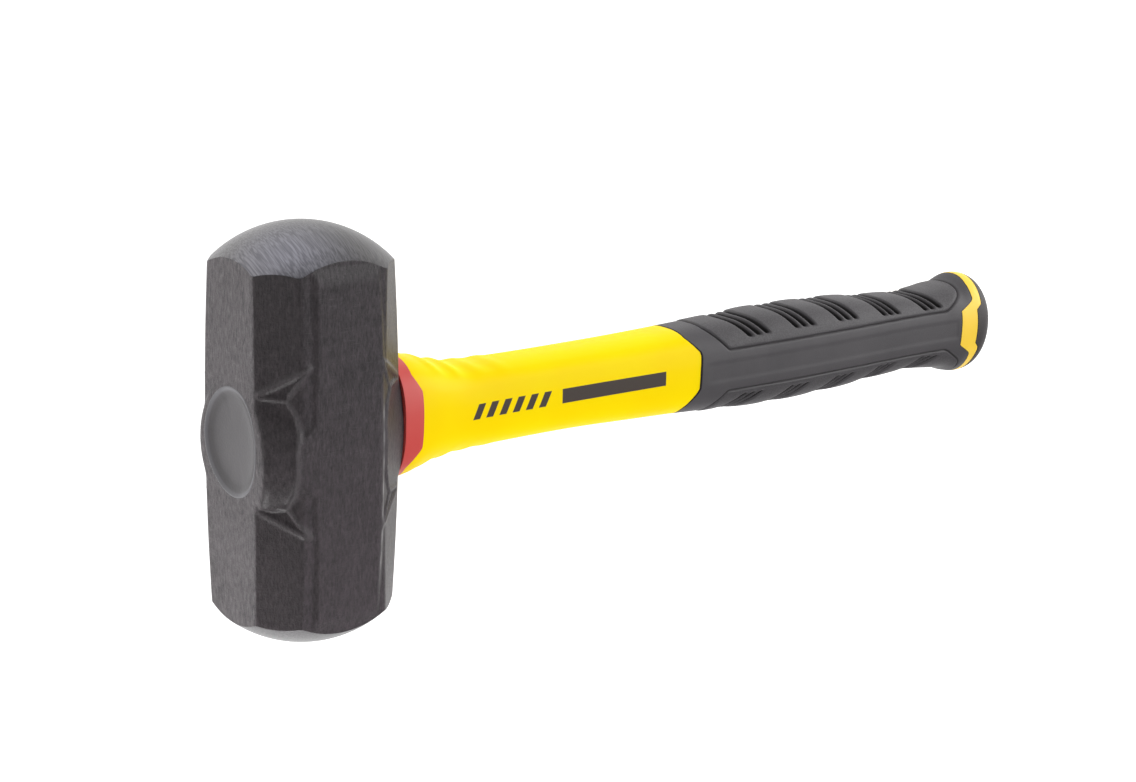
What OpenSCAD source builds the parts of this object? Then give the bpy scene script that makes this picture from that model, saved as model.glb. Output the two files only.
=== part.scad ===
// Short-handled lump hammer, lying on one side of its head.
// X runs along the handle, from the head towards the pommel. Y is the striking axis.
// Z is up, and the lower side of the head rests at Z = 0.
// The origin is under the point where the handle axis crosses the striking axis.

/* [Head] */
// Length of the head from one striking dome to the other
head_length = 117.6; // [112:0.2:124]
// Width of the head at its ends, measured along the handle
head_width = 44.5; // [43:0.5:46]
// Thickness of the head at its ends, across the handle
head_thickness = 42.6; // [42:0.2:43.6]
// Width of the two flats that the eye passes through
eye_flat_width = 23.6; // [21:0.2:25]
// Width of the two side flats
side_flat_width = 26.8; // [24:0.2:28]
// Radius of the two striking domes
dome_radius = 34.6; // [33:0.2:40]
// Swelling of each flat halfway between the domes
swell = 0.5; // [0.3:0.1:1.5]
// Width of the trimmed land along each side of the head
land_width = 19; // [14:0.5:22]
// Height of the land above the ends of the side flats
land_height = 0.9; // [0.7:0.1:1.2]

/* [Bosses and eye] */
// Radius of each boss at its face
boss_radius = 17; // [16:0.5:18]
// Radius of each boss where it meets the body of the head
boss_root_radius = 20; // [18.5:0.5:20.5]
// Distance from the striking axis to the boss face on the handle's side
boss_reach = 24.4; // [24:0.2:25]
// Distance from the striking axis to the boss face on the plug's side
mouth_reach = 23.6; // [23.2:0.2:24.4]
// How far the plugged boss sits off the middle, along the striking axis
mouth_shift = 0.8; // [0:0.1:1]
// Height of the eye along the striking axis
eye_height = 26; // [22:0.5:27]
// Width of the eye across the handle
eye_width = 21; // [18:0.5:22]
// Height of the plug in the mouth of the eye
cap_height = 30.6; // [29:0.2:31]
// Width of the plug in the mouth of the eye
cap_width = 27.2; // [25:0.2:28]
// Thickness of the plug
cap_thickness = 3.4; // [3:0.2:6]
// Radius of the shallow dish in the plug
dish_radius = 75; // [60:5:120]

/* [Handle] */
// Height of the fibreglass core along the striking axis
core_height = 15; // [12:0.5:16]
// Width of the fibreglass core
core_width = 11; // [9:0.5:12]
// Where the jacket stops and the grip starts
grip_start = 130.8; // [128:0.2:133]
// How far the jacket's side tongues reach past the start of the grip
tongue_length = 4.4; // [3:0.2:6]
// Height of the jacket's side tongues along the striking axis
tongue_height = 17; // [12:1:18]
// Thickness of the rubber of the grip
grip_wall = 2.6; // [2:0.2:3]
// Where the grip stops and the pommel band starts
band_start = 258.4; // [257:0.2:260]
// Width of the pommel band along the handle
band_width = 3.4; // [3:0.2:5]
// Length of the pommel band's two side tabs along the handle
band_tab_length = 6.4; // [4:0.2:8]
// Height of the pommel band's two side tabs along the striking axis
band_tab_height = 13; // [9:1:16]
// Overall reach of the pommel from the striking axis
pommel_reach = 271.6; // [270:0.2:274]

/* [Collar] */
// Thickness of the collar between the boss and the jacket
collar_thickness = 3.2; // [2.4:0.2:3.6]
// Length of the collar's two side tabs along the handle
collar_tab_length = 2.8; // [2:0.2:5]
// Height of the collar's two side tabs along the striking axis
collar_tab_height = 17; // [14:1:20]

/* [Tabs] */
// How deep the side tabs are let into the piece beside them
tab_depth = 1.6; // [1.2:0.1:1.8]

/* [Hidden] */

$fn = 96;
CURVE_FN = 720;
SECTION_SIDES = 40;
STATION_PITCH = 4;
DOME_STEP = 10;
MARGIN = 1;

axis_z = head_thickness / 2 + land_height;
dome_centre = head_length / 2 - dome_radius;
corner_x = head_width / 2;
corner_z = eye_flat_width / 2;
corner_reach = dome_centre + sqrt(pow(dome_radius, 2) - pow(corner_x, 2) - pow(corner_z, 2));
flank_run = corner_x - side_flat_width / 2;
flank_rise = head_thickness / 2 - corner_z;
flank_angle = atan2(flank_run, flank_rise);
flank_reach = corner_x * cos(flank_angle) + corner_z * sin(flank_angle);
swell_radius = (pow(corner_reach, 2) + pow(swell, 2)) / (2 * swell);
collar_start = boss_reach;
jacket_start = collar_start + collar_thickness;
collar_tab_end = jacket_start + collar_tab_length;
tongue_end = grip_start + tongue_length;
band_tab_start = band_start - band_tab_length;
core_start = -mouth_reach + cap_thickness;
pad_start = band_start + band_width;
core_end = pad_start - 1.6;

// Handle sections: position along the axis, half height, half width, squareness, height of the middle.
JACKET_SHAPE = [
    [24, 18.1, 14.6, 2.5, 1.2],
    [30, 17.1, 14.2, 2.6, 1.3],
    [36, 15.2, 13.5, 2.6, 1.4],
    [42, 13.7, 12.6, 2.6, 1.0],
    [49, 12.7, 11.8, 2.6, 0.6],
    [58, 12.4, 11.3, 2.7, 0.4],
    [74, 12.2, 11.1, 2.8, 0.35],
    [92, 12.3, 11.2, 2.8, 0.3],
    [112, 12.75, 11.6, 2.8, 0.05],
    [140, 13.6, 12.3, 2.8, -0.1]
];
GRIP_SHAPE = [
    [125, 13.2, 12.0, 2.7, 0],
    [143, 13.9, 12.8, 2.7, -0.2],
    [166, 15, 13.3, 2.7, -0.2],
    [180, 15.05, 13.3, 2.7, -0.2],
    [202, 14.5, 12.9, 2.7, -0.2],
    [218, 13.4, 12.3, 2.7, -0.3],
    [235, 12.8, 12.0, 2.7, -0.55],
    [245, 13.5, 12.3, 2.7, -0.75],
    [250, 14.1, 12.7, 2.7, -0.8],
    [255, 15.4, 13.2, 2.4, -1.4],
    [259, 17.0, 13.3, 2.1, -0.8],
    [262, 17.0, 13.3, 2.1, -0.7]
];

// Slope of a shape table at its row i.
function slope_at(table, i) =
    let (before = table[max(i - 1, 0)], after = table[min(i + 1, len(table) - 1)])
    (after - before) / (after[0] - before[0]);

// Index of the row that starts the stretch which holds x.
function row_before(table, x, i = 0) =
    (i >= len(table) - 2 || x < table[i + 1][0]) ? i : row_before(table, x, i + 1);

// Section at x, on a smooth curve through the table's rows.
function shape_at(table, x) =
    let (
        i = row_before(table, x),
        gap = table[i + 1][0] - table[i][0],
        t = (x - table[i][0]) / gap
    )
    (2 * pow(t, 3) - 3 * pow(t, 2) + 1) * table[i]
    + (pow(t, 3) - 2 * pow(t, 2) + t) * gap * slope_at(table, i)
    + (3 * pow(t, 2) - 2 * pow(t, 3)) * table[i + 1]
    + (pow(t, 3) - pow(t, 2)) * gap * slope_at(table, i + 1);

// Sections from one place to another, evenly spaced.
function stations(table, from, to, inset = 0) =
    let (count = ceil((to - from) / STATION_PITCH))
    [for (i = [0:count])
        let (s = shape_at(table, from + (to - from) * i / count))
        [s[0], s[1] - inset, s[2] - inset, s[3], s[4]]];

function signed_power(v, p) = sign(v) * pow(abs(v), p);

// Points around one rounded section.
function ring(s) =
    [for (j = [0:SECTION_SIDES - 1])
        let (angle = 360 * (j + 0.5) / SECTION_SIDES)
        [s[0], s[4] + s[1] * signed_power(cos(angle), 2 / s[3]),
         s[2] * signed_power(sin(angle), 2 / s[3])]];

// Solid with rounded sections at the given stations.
module swept(rows) {
    last = len(rows) - 1;
    points = [for (s = rows) each ring(s)];
    sides = [for (i = [0:last - 1], j = [0:SECTION_SIDES - 1])
        let (k = (j + 1) % SECTION_SIDES, a = i * SECTION_SIDES, b = a + SECTION_SIDES)
        each [[a + j, b + j, b + k], [a + j, b + k, a + k]]];
    start_cap = [for (j = [0:SECTION_SIDES - 1]) j];
    end_cap = [for (j = [SECTION_SIDES - 1:-1:0]) last * SECTION_SIDES + j];
    polyhedron(points, concat([start_cap], sides, [end_cap]));
}

// Bar along X with half-round top and bottom.
module oval_bar(from, to, height, width) {
    straight = height - width;
    translate([from, 0, 0])
        rotate([90, 0, 90])
            linear_extrude(height = to - from)
                union() {
                    square([straight, width], center = true);
                    for (side = [-1, 1])
                        translate([side * straight / 2, 0])
                            circle(d = width);
                }
}

// Elliptical bar along X, on the middle of the plugged boss.
module mouth_bar(from, to) {
    translate([from, mouth_shift, 0])
        rotate([90, 0, 90])
            linear_extrude(height = to - from)
                scale([cap_height / cap_width, 1])
                    circle(d = cap_width, $fn = 180);
}

// Slab along Y between two faces that swell at the middle of the head.
module swelled_slab(half_width) {
    intersection_for (side = [-1, 1])
        translate([side * (swell_radius - half_width - swell), 0, 0])
            cylinder(r = swell_radius, h = 2 * head_width, center = true, $fn = CURVE_FN);
}

// Everything outside the striking dome at the +Y end.
module dome_cutter() {
    difference() {
        translate([-head_width, dome_centre, -head_width])
            cube([2 * head_width, head_length, 2 * head_width]);
        translate([0, dome_centre, 0])
            sphere(r = dome_radius, $fn = 180);
    }
}

// Flat pad along each side of the head, where the forging flash was trimmed.
module side_lands() {
    land_length = 2 * corner_reach - 6;
    cube([land_width, land_length, 2 * axis_z], center = true);
}

module boss(side, reach) {
    rotate([0, side * 90, 0])
        translate([0, 0, reach / 2])
            cylinder(r1 = boss_root_radius + 1.5, r2 = boss_radius, h = reach / 2);
}

module head() {
    color("dimgray")
        translate([0, 0, axis_z])
            difference() {
                union() {
                    difference() {
                        intersection() {
                            swelled_slab(corner_x);
                            rotate([0, flank_angle, 0])
                                swelled_slab(flank_reach);
                            rotate([0, -flank_angle, 0])
                                swelled_slab(flank_reach);
                            cube([2 * head_width, 2 * head_length, head_thickness], center = true);
                        }
                        dome_cutter();
                        mirror([0, 1, 0])
                            dome_cutter();
                    }
                    side_lands();
                    boss(1, boss_reach);
                    translate([0, mouth_shift, 0])
                        boss(-1, mouth_reach);
                }
                oval_bar(-boss_reach - MARGIN, boss_reach + MARGIN, eye_height, eye_width);
                mouth_bar(-boss_reach - MARGIN, core_start);
            }
}

module eye_cap() {
    dish_offset = sqrt(pow(dish_radius, 2) - pow(cap_height / 2, 2));
    color("gray")
        translate([0, 0, axis_z])
            difference() {
                mouth_bar(-mouth_reach, core_start);
                translate([-mouth_reach - dish_offset, mouth_shift, 0])
                    sphere(r = dish_radius, $fn = 360);
            }
}

module eye_resin() {
    color("black")
        translate([0, 0, axis_z])
            difference() {
                oval_bar(core_start, boss_reach, eye_height, eye_width);
                oval_bar(core_start - MARGIN, boss_reach + MARGIN, core_height, core_width);
            }
}

module fibreglass_core() {
    color("lightyellow")
        translate([0, 0, axis_z])
            oval_bar(core_start, core_end, core_height, core_width);
}

// The two blocks that shape a pair of side tabs on a sweep of a shape table.
module side_blocks(table, from, to, height, depth) {
    floor_z = min(shape_at(table, from)[2], shape_at(table, to)[2]) - depth;
    middle_y = shape_at(table, from)[4];
    for (side = [-1, 1])
        translate([from, middle_y - height / 2, side > 0 ? floor_z : -floor_z - head_width])
            cube([to - from, height, head_width]);
}

module side_tabs(table, from, to, height, depth) {
    intersection() {
        swept(stations(table, from, to));
        side_blocks(table, from, to, height, depth);
    }
}

module damping_collar() {
    color("indianred")
        translate([0, 0, axis_z])
            difference() {
                union() {
                    swept([shape_at(JACKET_SHAPE, collar_start), shape_at(JACKET_SHAPE, jacket_start)]);
                    side_tabs(JACKET_SHAPE, jacket_start, collar_tab_end, collar_tab_height, tab_depth);
                }
                oval_bar(collar_start - MARGIN, collar_tab_end, core_height, core_width);
            }
}

module overstrike_jacket() {
    tongue_depth = grip_wall + tab_depth;
    color("gold")
        translate([0, 0, axis_z])
            difference() {
                union() {
                    swept(stations(JACKET_SHAPE, jacket_start, grip_start));
                    swept(stations(GRIP_SHAPE, grip_start, band_start, grip_wall));
                    side_tabs(GRIP_SHAPE, grip_start, tongue_end, tongue_height, tongue_depth);
                }
                side_blocks(JACKET_SHAPE, jacket_start, collar_tab_end, collar_tab_height, tab_depth);
                oval_bar(jacket_start - MARGIN, band_start + MARGIN, core_height, core_width);
            }
}

module rubber_grip() {
    tongue_depth = grip_wall + tab_depth;
    color("darkslategray")
        translate([0, 0, axis_z])
            difference() {
                swept(stations(GRIP_SHAPE, grip_start, band_start));
                swept(stations(GRIP_SHAPE, grip_start, band_start, grip_wall));
                side_blocks(GRIP_SHAPE, grip_start, tongue_end, tongue_height, tongue_depth);
                side_blocks(GRIP_SHAPE, band_tab_start, band_start, band_tab_height, tab_depth);
            }
}

module pommel_band() {
    color("gold")
        translate([0, 0, axis_z])
            difference() {
                union() {
                    swept(stations(GRIP_SHAPE, band_start, pad_start));
                    side_tabs(GRIP_SHAPE, band_tab_start, band_start, band_tab_height, tab_depth);
                }
                oval_bar(band_start - MARGIN, core_end, core_height, core_width);
            }
}

module butt_pad() {
    rim = shape_at(GRIP_SHAPE, pad_start);
    dome = [for (angle = [0:DOME_STEP:90 - DOME_STEP])
        [pad_start + (pommel_reach - pad_start) * sin(angle), rim[1] * cos(angle),
         rim[2] * cos(angle), rim[3], rim[4]]];
    color("dimgray")
        translate([0, 0, axis_z])
            swept(dome);
}

head();
eye_cap();
eye_resin();
fibreglass_core();
damping_collar();
overstrike_jacket();
rubber_grip();
pommel_band();
butt_pad();
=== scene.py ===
"""Looks of the lump hammer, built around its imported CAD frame.

The hammer lies on one side of its head. Shapes are worked out in millimetres in the handle's own
frame: X along the handle, Y along the striking axis, Z out of the upper side, and the origin at
the centre of the head. They turn into metres, at the height of the axis, when they become meshes.
"""
import math
import bmesh
import bpy
import numpy as np
from mathutils import Matrix, Vector


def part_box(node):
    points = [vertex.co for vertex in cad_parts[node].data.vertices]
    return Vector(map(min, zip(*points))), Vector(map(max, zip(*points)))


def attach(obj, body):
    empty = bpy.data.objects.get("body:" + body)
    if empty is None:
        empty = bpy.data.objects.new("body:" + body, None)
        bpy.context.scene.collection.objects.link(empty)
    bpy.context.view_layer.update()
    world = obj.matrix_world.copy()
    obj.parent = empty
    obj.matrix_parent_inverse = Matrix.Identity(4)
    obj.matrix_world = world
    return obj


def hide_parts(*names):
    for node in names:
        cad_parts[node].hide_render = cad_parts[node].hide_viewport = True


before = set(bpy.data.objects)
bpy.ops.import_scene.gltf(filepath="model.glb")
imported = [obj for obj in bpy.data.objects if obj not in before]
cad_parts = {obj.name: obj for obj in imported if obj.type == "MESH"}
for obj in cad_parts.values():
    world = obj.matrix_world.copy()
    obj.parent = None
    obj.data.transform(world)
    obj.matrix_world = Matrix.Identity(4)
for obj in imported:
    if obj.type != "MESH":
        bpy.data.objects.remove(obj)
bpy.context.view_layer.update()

MM = 0.001
HALVINGS = 26
head_low, head_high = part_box("head")
AXIS = (head_low + head_high) / 2
HALF_LENGTH = 58.8

# Head: half sizes of its octagon at the ends, and how far each flat swells between the domes.
HALF_WIDTH, HALF_THICKNESS = 22.25, 21.3
EYE_FLAT, SIDE_FLAT = 11.8, 13.4
SWELL, SWELL_REACH = 0.55, 48.0
EYE_FLAT_GAIN, SIDE_FLAT_LOSS = 1.4, 0.7
DOME_RADIUS = 34.6
DOME_CENTRE = HALF_LENGTH - DOME_RADIUS
LAND_Z = AXIS.z / MM
LAND_EDGE, LAND_EDGE_BOW, LAND_HALF_LENGTH = 10.0, 2.4, 46
EYE_HALF_HEIGHT, EYE_HALF_WIDTH = 13.0, 10.5
HEAD_SHARP_DEGREES = 28
BOSS_FACE = 24.4
FACE_BOSS, FACE_BOSS_Y, FACE_BOSS_Z = 23.6, 0.7, 1.8
CAP_Y, CAP_Z = 1.1, 1.6

# Handle: where its pieces meet, as Y and X pairs along each edge line.
COLLAR_EDGE = ((-12.0, 26.4), (-6.3, 30.7), (10.2, 30.9), (14.6, 28.6), (20.0, 28.5))
TONGUE_EDGE = ((-13.0, 129.3), (-10.8, 129.8), (-5.6, 134.3), (-4.4, 135.0), (2.0, 135.1),
               (6.0, 135.4), (7.2, 135.1), (11.4, 130.9), (13.5, 130.2))
BAND_LEFT_EDGE = ((-20.0, 258.3), (-12.0, 258.0), (-9.4, 257.6), (-8.7, 256.9), (-5.7, 252.1),
                  (6.0, 252.3), (8.4, 257.5), (9.4, 258.5), (14.0, 258.8), (18.0, 259.8))
BAND_RIGHT_EDGE = ((-20.0, 260.4), (-12.3, 260.9), (-8.2, 261.2), (-7.3, 260.9), (-5.7, 259.2),
                   (5.9, 259.4), (7.4, 261.8), (9.0, 262.0), (15.0, 262.6), (20.0, 262.8))
GRIP_WALL = 2.6
PAD_FIRST, PAD_LAST = 140.2, 254.7
DOME_START, REACH, DOME_FULLNESS = 260.4, 271.55, 2.2
CORE_HALF_HEIGHT, CORE_HALF_WIDTH = 7.5, 5.5

# Handle sections: X, half height, half width, squareness, height of the middle.
JACKET_SHAPE = np.array([
    (24, 18.1, 14.6, 2.5, 1.2), (30, 17.1, 14.2, 2.6, 1.3), (36, 15.2, 13.5, 2.6, 1.4),
    (42, 13.7, 12.6, 2.6, 1.0), (49, 12.7, 11.8, 2.6, 0.6), (58, 12.4, 11.3, 2.7, 0.4),
    (74, 12.2, 11.1, 2.8, 0.35), (92, 12.3, 11.2, 2.8, 0.3), (112, 12.75, 11.6, 2.8, 0.05),
    (140, 13.6, 12.3, 2.8, -0.1)])
GRIP_SHAPE = np.array([
    (125, 13.2, 12.0, 2.7, 0.0), (143, 13.9, 12.8, 2.7, -0.2), (166, 15.0, 13.3, 2.7, -0.2),
    (180, 15.05, 13.3, 2.7, -0.2), (202, 14.5, 12.9, 2.7, -0.2), (218, 13.4, 12.3, 2.7, -0.3),
    (235, 12.8, 12.0, 2.7, -0.55), (245, 13.5, 12.3, 2.7, -0.75), (250, 14.1, 12.7, 2.7, -0.8),
    (255, 15.4, 13.2, 2.4, -1.4), (259, 17.0, 13.3, 2.1, -0.8), (262, 17.0, 13.3, 2.1, -0.7)])


# ---------------------------------------------------------------- small tools

def smooth_max(a, b, k):
    """The larger of a and b, rounded over where they cross by about k."""
    h = np.clip(0.5 + 0.5 * (a - b) / k, 0, 1)
    return b * (1 - h) + a * h + k * h * (1 - h)


def smooth_min(a, b, k):
    return -smooth_max(-a, -b, k)


def step(low, high, v):
    """0 below low, 1 above high, smooth between."""
    t = np.clip((v - low) / (high - low), 0, 1)
    return t * t * (3 - 2 * t)


def mesh_object(name, points, faces, materials, face_materials=None, sharp=35, groove=None):
    """A mesh object from points in millimetres in the handle's frame.

    groove is a number for each point that the materials read: painted shade in a groove, a seam or a
    hollow, or a painted highlight on a bead, the land's edge or the plug's rim.
    """
    mesh = bpy.data.meshes.new(name)
    placed = np.asarray(points, float) * MM + np.array((0, 0, AXIS.z))
    mesh.from_pydata(placed.tolist(), [], [tuple(int(i) for i in f) for f in faces])
    for material in materials:
        mesh.materials.append(material)
    if face_materials is not None:
        mesh.polygons.foreach_set("material_index", np.asarray(face_materials, np.int32))
    if groove is not None:
        mesh.attributes.new("groove", "FLOAT", "POINT").data.foreach_set("value", groove)
    mesh.validate()
    mesh.shade_smooth()
    mesh.set_sharp_from_angle(angle=math.radians(sharp))
    made = bpy.data.objects.new(name, mesh)
    bpy.context.scene.collection.objects.link(made)
    return made


def turning_point(inside, low, high):
    """Where inside(v) turns false between the arrays low and high, found by halving."""
    for _ in range(HALVINGS):
        middle = (low + high) / 2
        within = inside(middle)
        low, high = np.where(within, middle, low), np.where(within, high, middle)
    return (low + high) / 2


def grid_faces(rows, columns, closed_rows=False):
    """Quads of a grid whose columns wrap round, and whose rows wrap too if closed_rows."""
    last = rows if closed_rows else rows - 1
    i, j = np.meshgrid(np.arange(last), np.arange(columns), indexing="ij")
    following = (i + 1) % rows
    beside = (j + 1) % columns
    quads = np.stack([i * columns + j, i * columns + beside,
                      following * columns + beside, following * columns + j], -1)
    return quads.reshape(-1, 4)


def capped_faces(rows, columns):
    """Faces of a grid whose two ends close on two more points, which follow the grid's own."""
    faces = [tuple(q) for q in grid_faces(rows, columns)]
    back, front, last = rows * columns, rows * columns + 1, (rows - 1) * columns
    for j in range(columns):
        k = (j + 1) % columns
        faces.append((back, k, j))
        faces.append((front, last + j, last + k))
    return faces


def piece(made, node):
    """Hands a piece to the frame in place of its CAD node."""
    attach(made, "root")
    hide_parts(node)


# ---------------------------------------------------------------- head

# Thin forged beads around each boss, seen square on to a flank: points, height and width.
BEADS = (
    (((-4.9, 15.2), (2.8, 14.7)), 0.5, 0.65),
    (((-4.9, 16.2), (2.2, 20.0), (8.6, 23.2)), 0.55, 0.9),
    (((2.8, 14.7), (8.6, 23.2)), 0.6, 0.65),
    (((2.8, 14.7), (5.2, 10.7), (6.2, 5.5), (6.2, 0.0)), 0.75, 0.7),
)
BEAD_HEIGHT = 0.7
BEAD_TILT = math.radians(43)


def segment_distance(u, v, start, end):
    """Distance from points to a line between two points, in a plane."""
    run, rise = end[0] - start[0], end[1] - start[1]
    t = np.clip(((u - start[0]) * run + (v - start[1]) * rise) / (run ** 2 + rise ** 2), 0, 1)
    return np.hypot(u - start[0] - t * run, v - start[1] - t * rise)


def boss_distance(across, along, out, face, face_half_width, spread, curve, bow, rounding):
    """Outside of the boss around the eye. All arguments are distances from the middle planes."""
    depth = face - across
    front = across - (face - curve * (along / 15) ** 2)
    flank = (out - (face_half_width + spread * depth) + bow) * math.cos(math.atan(spread))
    wall = along - (14.7 + 0.06 * depth)
    sides = smooth_max(smooth_max(flank, wall, 1.2), out - HALF_THICKNESS - 0.15, 0.6)
    return smooth_max(sides, front, rounding)


def land_edge_at(y):
    """X of the edge of the side land on the handle's side."""
    return LAND_EDGE + LAND_EDGE_BOW * (1 - (y / LAND_HALF_LENGTH) ** 2)


def head_side(x, y, z):
    """Signed distance, roughly, to the sides of the head, negative inside."""
    across, along, out = np.abs(x), np.abs(y), np.abs(z)
    middle = 1 - (along / SWELL_REACH) ** 2
    eye_flat = across - HALF_WIDTH - np.where(x > 0, 2.1 * SWELL, SWELL) * middle
    run = HALF_WIDTH + SWELL * middle - SIDE_FLAT + SIDE_FLAT_LOSS * middle
    rise = HALF_THICKNESS + 0.2 * middle - EYE_FLAT - EYE_FLAT_GAIN * middle
    flank = ((across - HALF_WIDTH - SWELL * middle) * rise
             + (out - EYE_FLAT - EYE_FLAT_GAIN * middle) * run) / np.hypot(run, rise)
    side_flat = out - HALF_THICKNESS - 0.2 * middle
    land_edge = np.where(x > 0, land_edge_at(along), 8.6 + 0.3 * np.sin(along / 7))
    slope = np.where(x > 0, 0.55, 0.42)
    land = smooth_max(out - LAND_Z, (across - land_edge) * slope + (out - LAND_Z) * 0.88, 0.12)
    land = smooth_max(land, (along - 47) * 0.3 + (out - LAND_Z) * 0.95, 0.4)
    side = smooth_min(side_flat, land, 0.15)
    body = smooth_max(smooth_max(eye_flat, flank, 0.45), smooth_max(side, flank, 1.0), 0.1)
    face_boss = boss_distance(across, np.abs(y - FACE_BOSS_Y), np.abs(z - FACE_BOSS_Z),
                              FACE_BOSS, 17.2, 0.38, 0.9, (y + 1.6) ** 2 / 42, 1.8)
    handle_boss = boss_distance(across, along, out, BOSS_FACE, 13.8, 0.66, 0.0, along ** 2 / 74, 0.6)
    body = smooth_min(body, np.where(x < 0, face_boss, handle_boss), 0.4)
    shift = np.where(x < 0, FACE_BOSS_Y, 0.0)
    return smooth_max(body - beads(across, np.abs(y - shift), out)[0], out - LAND_Z - 0.02, 0.08)


def beads(across, along, out):
    """How far the beads around a boss stand out, their painted highlight, and the hollows, which
    also get painted shade.
    """
    height = np.zeros(across.shape)
    sideways = out * math.cos(BEAD_TILT) - across * math.sin(BEAD_TILT)
    for line, tall, wide in BEADS:
        distance = np.full(across.shape, 99.0)
        for start, end in zip(line[:-1], line[1:]):
            distance = np.minimum(distance, segment_distance(sideways, along, start, end))
        height = np.maximum(height, tall * np.exp(-(distance / wide) ** 2))
    height *= step(8.5, 10.5, across) * step(-6.0, -4.4, sideways)
    inside = triangle_inside(sideways, along, (-4.9, 15.8), (2.8, 14.7), (8.6, 23.2))
    hollow = step(0.3, 1.2, inside) * step(8.5, 10.5, across)
    return 0.8 * height - 0.25 * hollow, 0.75 * height / BEAD_HEIGHT, 0.8 * hollow


def triangle_inside(u, v, a, b, c):
    """Distance inside a triangle in a plane, negative outside it."""
    inside = np.full(u.shape, 99.0)
    for start, end, other in ((a, b, c), (b, c, a), (c, a, b)):
        run, rise = end[0] - start[0], end[1] - start[1]
        length = math.hypot(run, rise)
        side = ((u - start[0]) * rise - (v - start[1]) * run) / length
        facing = ((other[0] - start[0]) * rise - (other[1] - start[1]) * run) / length
        inside = np.minimum(inside, side * math.copysign(1, facing))
    return inside


def side_radius(angle, y):
    """Distance from the striking axis to the head's side, for arrays of angles and heights."""
    c, s = np.cos(angle), np.sin(angle)
    return turning_point(lambda r: head_side(r * c, y, r * s) < 0,
                         np.full(angle.shape, 15.0), np.full(angle.shape, 34.0))


def dome_edge(angle, side):
    """Height at which the sides meet the striking dome."""
    def inside(y):
        return side_radius(angle, side * y) ** 2 + (y - DOME_CENTRE) ** 2 < DOME_RADIUS ** 2

    return turning_point(inside, np.full(angle.shape, 30.0), np.full(angle.shape, HALF_LENGTH))


def head_rows():
    """Heights of the head's rings as shares of the dome edge's, close together by the bosses."""
    middle = np.linspace(-26, 26, 128) / 49
    outer = np.linspace(26, 46, 15)[1:] / 49
    rim = np.array((0.955, 0.968, 0.978, 0.985, 0.991, 0.9955, 0.9985))
    upper = np.concatenate([outer, rim])
    return np.concatenate([-upper[::-1], middle, upper])


def dome_points(angle, edge, side, ring_count, rounding):
    """Rings from the dome's edge to its pole."""
    start = np.arcsin((edge - DOME_CENTRE) / DOME_RADIUS)
    first = start + rounding / DOME_RADIUS
    shares = np.concatenate([np.array((0.0, 0.012, 0.03)), np.linspace(0.055, 0.97, ring_count)])
    rings = []
    for share in shares:
        tilt = first + (math.pi / 2 - first) * share
        rings.append(np.stack([DOME_RADIUS * np.cos(tilt) * np.cos(angle),
                               side * (DOME_CENTRE + DOME_RADIUS * np.sin(tilt)),
                               DOME_RADIUS * np.cos(tilt) * np.sin(angle)], -1))
    return rings


def head_mesh(materials):
    columns, dome_rings, rounding = 392, 30, 0.06
    angle = np.linspace(0, 2 * math.pi, columns, endpoint=False)
    edges = {side: dome_edge(angle, side) for side in (-1, 1)}
    rings, kinds = [], []
    for ring in dome_points(angle, edges[-1], -1, dome_rings, rounding)[::-1]:
        rings.append(ring)
        kinds.append(1)
    for share in head_rows():
        y = share * np.where(share < 0, edges[-1], edges[1])
        r = side_radius(angle, y)
        rings.append(np.stack([r * np.cos(angle), y, r * np.sin(angle)], -1))
        kinds.append(0)
    for ring in dome_points(angle, edges[1], 1, dome_rings, rounding):
        rings.append(ring)
        kinds.append(1)
    points = np.concatenate(rings)
    faces = [tuple(q[::-1]) for q in grid_faces(len(rings), columns)]
    face_kinds = [min(kinds[i], kinds[i + 1])
                  for i in range(len(rings) - 1) for _ in range(columns)]
    poles = len(points)
    points = np.concatenate([points, [(0, -HALF_LENGTH, 0), (0, HALF_LENGTH, 0)]])
    last = (len(rings) - 1) * columns
    for j in range(columns):
        k = (j + 1) % columns
        faces.append((poles, j, k))
        faces.append((poles + 1, last + k, last + j))
        face_kinds += [1, 1]
    x, y, z = points.T
    # Painted highlight along the beads, and painted shade in the hollows between them.
    bead_highlight, hollow = beads(np.abs(x), np.abs(y - np.where(x < 0, FACE_BOSS_Y, 0.0)), np.abs(z))[1:]
    # Painted highlight along the edge of the side land on the handle's side.
    painted_highlight = np.exp(-((x - land_edge_at(y) - 0.1) / 0.62) ** 2) * step(20.9, 21.4, np.abs(z))
    painted_highlight *= step(-45, -36, y) * (1 - step(8, 20, y)) * (0.88 + 0.12 * np.sin(0.9 * y))
    return mesh_object("forged_head", points, faces, materials, face_kinds,
                       sharp=HEAD_SHARP_DEGREES, groove=np.maximum(bead_highlight - hollow, 1.6 * painted_highlight))


# ---------------------------------------------------------------- handle sections

def slope_at(table, i):
    """Slope of a shape table at its rows i."""
    before, after = np.maximum(i - 1, 0), np.minimum(i + 1, len(table) - 1)
    return (table[after] - table[before]) / (table[after, 0] - table[before, 0])[..., None]


def shape_at(table, x):
    """Half height, half width, squareness and middle at each x, on a curve through the table."""
    i = np.clip(np.searchsorted(table[:, 0], x, side="right") - 1, 0, len(table) - 2)
    gap = table[i + 1, 0] - table[i, 0]
    t = ((x - table[i, 0]) / gap)[..., None]
    gap = gap[..., None]
    shape = ((2 * t ** 3 - 3 * t ** 2 + 1) * table[i]
             + (t ** 3 - 2 * t ** 2 + t) * gap * slope_at(table, i)
             + (3 * t ** 2 - 2 * t ** 3) * table[i + 1]
             + (t ** 3 - t ** 2) * gap * slope_at(table, i + 1))
    return shape[..., 1], shape[..., 2], shape[..., 3], shape[..., 4]


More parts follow.
